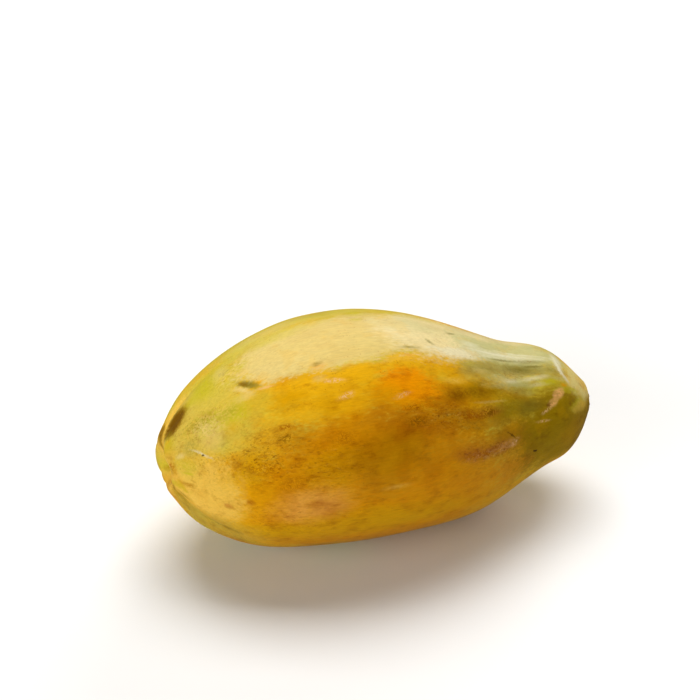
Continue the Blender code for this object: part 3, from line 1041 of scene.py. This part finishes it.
def stub_material(stem):
    """Dry stalk: brown corky side and a pale fibrous cut face."""
    material, tree, shader = start_material("papaya_stalk")
    finish = Finish(tree)
    place = finish.node("TexCoord").outputs["Object"]
    from_axis = finish.vector("SUBTRACT", place, (0, 0, STUB_FOOT.z))
    across = finish.vector("MULTIPLY", from_axis, (0, 1, 1))
    reach = finish.math("DIVIDE", finish.vector("LENGTH", across, (0, 0, 0)), stem.radius)
    along = finish.node("SeparateXYZ", {0: place}).outputs[0]
    rough = finish.noise(place, 1.1, 5.0, 0.7)
    wander = finish.times(finish.math("SUBTRACT", rough, 0.5), 1.6 * MM)
    cut_at = STUB_LOW.x + stem.height * 0.80
    cut = finish.fade(finish.math("ADD", along, wander), cut_at, cut_at + 0.4 * MM)
    ragged = finish.math("ADD", reach, finish.times(rough, 0.25))
    cut = finish.times(cut, finish.fade(ragged, 1.08, 0.98))
    fibrous = finish.fade(rough, 0.35, 0.65)
    side = finish.blend(fibrous, stem.bark, stem.bark_light)
    wood = finish.blend(fibrous, stem.wood, stem.wood_dark)
    ring = finish.fade(finish.math("SINE", finish.times(reach, 26.0)), 0.2, 1.0, 0, 0.35)
    wood = finish.blend(ring, wood, (0.45, 0.30, 0.16), "MULTIPLY")
    wood = finish.blend(finish.fade(reach, 0.30, 0.12), wood, stem.bark)
    finish.cover(shader, finish.blend(cut, side, wood), rough, 0.6, 0.4)
    finish.feed(shader, {"Roughness": 0.8, "Specular IOR Level": 0.25})
    return material


def scar_material(stem):
    """Dark corky scar tissue, paler on its crests."""
    material, tree, shader = start_material("papaya_scar")
    finish = Finish(tree)
    place = finish.node("TexCoord").outputs["Object"]
    rough = finish.noise(place, 1.4, 6.0, 0.7)
    lumps = finish.noise(place, 4.0, 3.0)
    colour = finish.blend(finish.fade(rough, 0.35, 0.65), stem.cork_dark, stem.bark)
    colour = finish.blend(finish.fade(lumps, 0.50, 0.66, 0, 0.7), colour, stem.cork)
    finish.cover(shader, colour, rough, 0.7, 0.5)
    finish.feed(shader, {"Roughness": 0.85, "Specular IOR Level": 0.2})
    return material


def floor_material():
    """A plain matt floor."""
    material, tree, shader = start_material("floor")
    Finish(tree).feed(shader, {"Base Color": (0.82, 0.82, 0.82, 1), "Roughness": 0.7})
    return material


class PAPAYA_OT_fruit(bpy.types.Operator):
    """Model the fruit: lobes, blossom knob, neck, dimple and resting spot"""

    bl_idname = "papaya.fruit"
    bl_label = "Make Fruit"

    def execute(self, context):
        skin = context.scene.papaya_skin
        # The cage stands proud of the outline, because smoothing draws it in.
        proud = 3 / (2 + math.cos(math.tau / skin.sides))
        rings = []
        for share, width, lift in smooth_outline():
            radius = width * skin.half_width * proud
            rings.append((ring_place(skin, share, lift), radius))
        rim = rings[-1][0]
        lip = rim - Vector((DIMPLE_ROUNDING, 0, 0))
        floor = rim - Vector((skin.dimple_depth, 0, 0))
        floor_radius = skin.dimple_radius - DIMPLE_ROUNDING
        rings += [(lip, skin.dimple_radius), (floor, floor_radius)]
        piece = start_ring("papaya_fruit", skin.sides, rings[0][1], rings[0][0])
        extrude_rings(rings)
        close_ends()
        subdivide(piece, skin.smoothing)
        places = SkinPlaces(skin, piece)
        turn_tip(piece, places)
        for furrow in FURROWS:
            deepest = max(furrow[3:])
            press(piece, "furrow", furrow_weights(places, *furrow), deepest * MM)
        press(piece, "pleats", pleat_weights(places), PLEAT_DEPTH * MM)
        for dent in DENTS:
            press(piece, "dent", spot_weights(places, *dent[:5]), dent[5] * MM)
        swell(piece, "swells", 0.045, 1.2 * MM)
        flatten_rest()
        map_skin(piece, places)
        bpy.ops.object.shade_smooth()
        piece.data.materials.append(skin_material(skin))
        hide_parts("fruit")
        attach(piece, "root")
        return {"FINISHED"}


class PAPAYA_OT_stem(bpy.types.Operator):
    """Model the stem stub and the dry ring of scar round it"""

    bl_idname = "papaya.stem"
    bl_label = "Make Stem Stub"

    def execute(self, context):
        stem = context.scene.papaya_stem
        self.make_stub(stem)
        self.make_scar(stem)
        return {"FINISHED"}

    def make_stub(self, stem):
        """A short five-angled stub, cut off square."""
        rings = []
        for out, share in STUB_OUTLINE:
            place = STUB_FOOT + Vector((out * stem.height, 0, 0))
            rings.append((place, share * stem.radius))
        piece = start_ring("papaya_stem_stub", 40, rings[0][1], rings[0][0])
        extrude_rings(rings)
        close_ends()
        subdivide(piece, 3)
        points = np.array([vertex.co for vertex in piece.data.vertices])
        angle = np.arctan2(points[:, 2] - STUB_FOOT.z, points[:, 1])
        reach = np.hypot(points[:, 2] - STUB_FOOT.z, points[:, 1]) / stem.radius
        corner = 0.5 - 0.5 * np.cos(5 * angle + 0.6)
        press(piece, "corners", corner * np.clip(reach * 2 - 1, 0, 1), 0.55 * MM)
        fibres = np.clip(np.sin(23 * angle) * np.sin(9 * angle + 1), 0, 1)
        press(piece, "fibres", fibres * np.clip(reach * 2 - 1, 0, 1), 0.25 * MM)
        swell(piece, "stub_grain", 0.0022, 0.45 * MM)
        swell(piece, "stub_lumps", 0.006, 0.5 * MM)
        bpy.ops.object.shade_smooth()
        piece.data.materials.append(stub_material(stem))
        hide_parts("stem_stub")
        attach(piece, "root")

    def make_scar(self, stem):
        """A lumpy corky ring where the skin dried round the stub."""
        bpy.ops.object.select_all(action="DESELECT")
        bpy.ops.mesh.primitive_torus_add(
            major_segments=72, minor_segments=14, major_radius=stem.radius + 1.0 * MM,
            minor_radius=1.5 * MM, location=(FRUIT_HIGH.x - 1.2 * MM, 0, STUB_FOOT.z),
            rotation=(0, math.pi / 2, 0))
        piece = bpy.context.active_object
        piece.name = "papaya_stem_scar"
        piece.data.name = "papaya_stem_scar"
        bpy.ops.object.transform_apply(location=True, rotation=True, scale=True)
        subdivide(piece, 2)
        swell(piece, "scar_lumps", 0.0035, 1.1 * MM)
        swell(piece, "scar_grain", 0.0012, 0.5 * MM)
        bpy.ops.object.shade_smooth()
        piece.data.materials.append(scar_material(stem))
        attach(piece, "root")


class PAPAYA_OT_stage(bpy.types.Operator):
    """Set the floor, the studio light and the camera"""

    bl_idname = "papaya.stage"
    bl_label = "Make Stage"

    def execute(self, context):
        stage = context.scene.papaya_stage
        bpy.ops.object.select_all(action="DESELECT")
        bpy.ops.mesh.primitive_plane_add(size=14, location=(0, 0, 0))
        floor = context.active_object
        floor.name = "floor"
        floor.data.materials.append(floor_material())
        floor.visible_glossy = False
        for light in LIGHTS:
            self.add_light(*light)
        self.add_world(context.scene)
        towards = Vector((
            math.sin(stage.azimuth) * math.cos(stage.elevation),
            -math.cos(stage.azimuth) * math.cos(stage.elevation),
            math.sin(stage.elevation)))
        bpy.ops.object.camera_add(location=CAMERA_AIM + towards * stage.distance)
        camera = context.active_object
        camera.name = "camera"
        camera.rotation_euler = towards.to_track_quat("Z", "Y").to_euler()
        camera.data.lens = stage.lens
        context.scene.camera = camera
        context.scene.view_settings.view_transform = "Standard"
        context.scene.view_settings.gamma = 0.9
        return {"FINISHED"}

    def add_world(self, scene):
        """A dim even light, behind which the backdrop shows near white."""
        world = bpy.data.worlds.new("studio")
        world.use_nodes = True
        finish = Finish(world.node_tree)
        dim = finish.tree.nodes["Background"]
        finish.feed(dim, {"Color": (1.0, 0.90, 0.72, 1), "Strength": 0.15})
        backdrop = finish.node("Background", {"Color": (1, 1, 1, 1), "Strength": 0.90})
        seen = finish.node("LightPath").outputs["Is Camera Ray"]
        choose = finish.node(
            "MixShader", {0: seen, 1: dim.outputs[0], 2: backdrop.outputs[0]})
        finish.feed(finish.tree.nodes["World Output"], {0: choose.outputs[0]})
        scene.world = world

    def add_light(self, name, place, size, power):
        """A rectangular softbox turned towards the fruit."""
        bpy.ops.object.light_add(type="AREA", location=place)
        lamp = bpy.context.active_object
        lamp.name = name
        lamp.data.shape = "RECTANGLE"
        lamp.data.size, lamp.data.size_y = size
        lamp.data.energy = power
        lamp.visible_camera = False
        to_fruit = Vector(place) - Vector((0, 0, 0.06))
        lamp.rotation_euler = to_fruit.to_track_quat("Z", "Y").to_euler()


class PAPAYA_PT_panel(bpy.types.Panel):
    """Buttons for each piece and their main settings"""

    bl_idname = "PAPAYA_PT_panel"
    bl_label = "Papaya"
    bl_space_type = "VIEW_3D"
    bl_region_type = "UI"
    bl_category = "Papaya"

    def draw(self, context):
        layout = self.layout
        scene = context.scene
        for operator, settings in (
                ("papaya.fruit", scene.papaya_skin), ("papaya.stem", scene.papaya_stem),
                ("papaya.stage", scene.papaya_stage)):
            layout.operator(operator)
            box = layout.box()
            for name in settings.__annotations__:
                box.prop(settings, name)


CLASSES = (
    PapayaSkinSettings,
    PapayaStemSettings,
    PapayaStageSettings,
    PAPAYA_OT_fruit,
    PAPAYA_OT_stem,
    PAPAYA_OT_stage,
    PAPAYA_PT_panel,
)


def register():
    for cls in CLASSES:
        bpy.utils.register_class(cls)
    bpy.types.Scene.papaya_skin = PointerProperty(type=PapayaSkinSettings)
    bpy.types.Scene.papaya_stem = PointerProperty(type=PapayaStemSettings)
    bpy.types.Scene.papaya_stage = PointerProperty(type=PapayaStageSettings)


def unregister():
    del bpy.types.Scene.papaya_stage
    del bpy.types.Scene.papaya_stem
    del bpy.types.Scene.papaya_skin
    for cls in reversed(CLASSES):
        bpy.utils.unregister_class(cls)


def main():
    """Make every piece."""
    register()
    bpy.ops.papaya.fruit()
    bpy.ops.papaya.stem()
    bpy.ops.papaya.stage()


if __name__ == "__main__":
    main()
